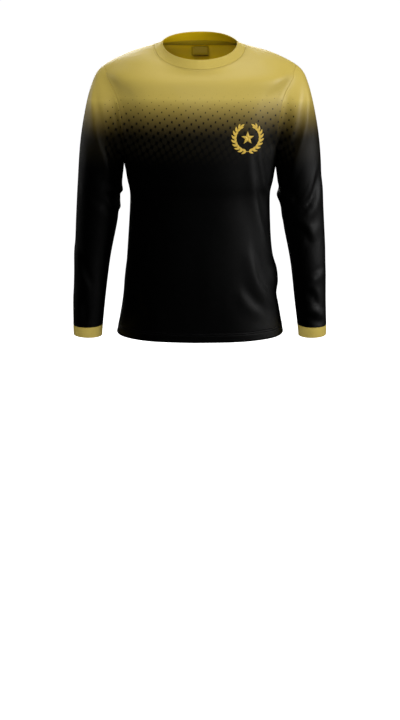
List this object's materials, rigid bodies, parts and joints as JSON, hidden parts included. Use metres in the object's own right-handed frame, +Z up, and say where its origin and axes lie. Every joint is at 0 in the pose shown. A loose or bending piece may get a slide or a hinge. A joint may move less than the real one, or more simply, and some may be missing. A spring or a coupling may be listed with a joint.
{
  "type": "cheer shirt",
  "caption": "Long-sleeved crew-neck knit cheer shirt with set-in sleeves that swing at the armholes, double neckband and cuffs, and a dot-faded gold yoke.",
  "frame": {"origin": "at the foot of the neck, on the midline, level with the high points of the shoulders, where the wearer holds the shirt up", "axes": "+X to the wearer's left, -Y to the front, +Z up"},
  "size_m": [0.616, 0.2456, 0.7276],
  "materials": {
    "printed_knit": "matt sublimated polyester interlock, gold yoke fading through a dot pattern into black",
    "gold_rib": "matt gold knit, folded double",
    "gold_tape": "matt gold herringbone tape and overlocked edge",
    "black_overlock": "matt black overlocked edge",
    "gold_thread": "slightly shiny polyester thread",
    "black_thread": "slightly shiny polyester thread",
    "label_satin": "plain gold satin, blank",
    "emblem_film": "satin gold heat-pressed film"
  },
  "bodies": {
    "torso": {"front_panel": "printed_knit", "back_panel": "printed_knit", "neckband": "gold_rib", "neck_tape": "gold_tape", "front_neck_seam": "gold_tape", "neckband_stitch": "gold_thread", "hem_stitch_lower": "black_thread", "hem_stitch_upper": "black_thread", "size_label": "label_satin", "care_label": "label_satin", "emblem_wreath": "emblem_film", "emblem_star": "emblem_film", "left_side_seam": "black_overlock", "left_shoulder_seam": "gold_tape", "left_armhole_seam": "black_overlock", "right_side_seam": "black_overlock", "right_shoulder_seam": "gold_tape", "right_armhole_seam": "black_overlock"},
    "left_arm": {"left_sleeve": "printed_knit", "left_cuff": "gold_rib", "left_sleeve_seam": "black_overlock", "left_cuff_seam": "gold_tape", "left_cuff_stitch": "black_thread"},
    "right_arm": {"right_sleeve": "printed_knit", "right_cuff": "gold_rib", "right_sleeve_seam": "black_overlock", "right_cuff_seam": "gold_tape", "right_cuff_stitch": "black_thread"}
  },
  "joints": [
    {"name": "left_sleeve_swing", "type": "hinge", "parent": "torso", "child": "left_arm", "pos_m": [0.205, 0, -0.04], "axis": [0, -1, 0], "range_deg": [0, 40]},
    {"name": "right_sleeve_swing", "type": "hinge", "parent": "torso", "child": "right_arm", "pos_m": [-0.205, 0, -0.04], "axis": [0, 1, 0], "range_deg": [0, 40]}
  ]
}
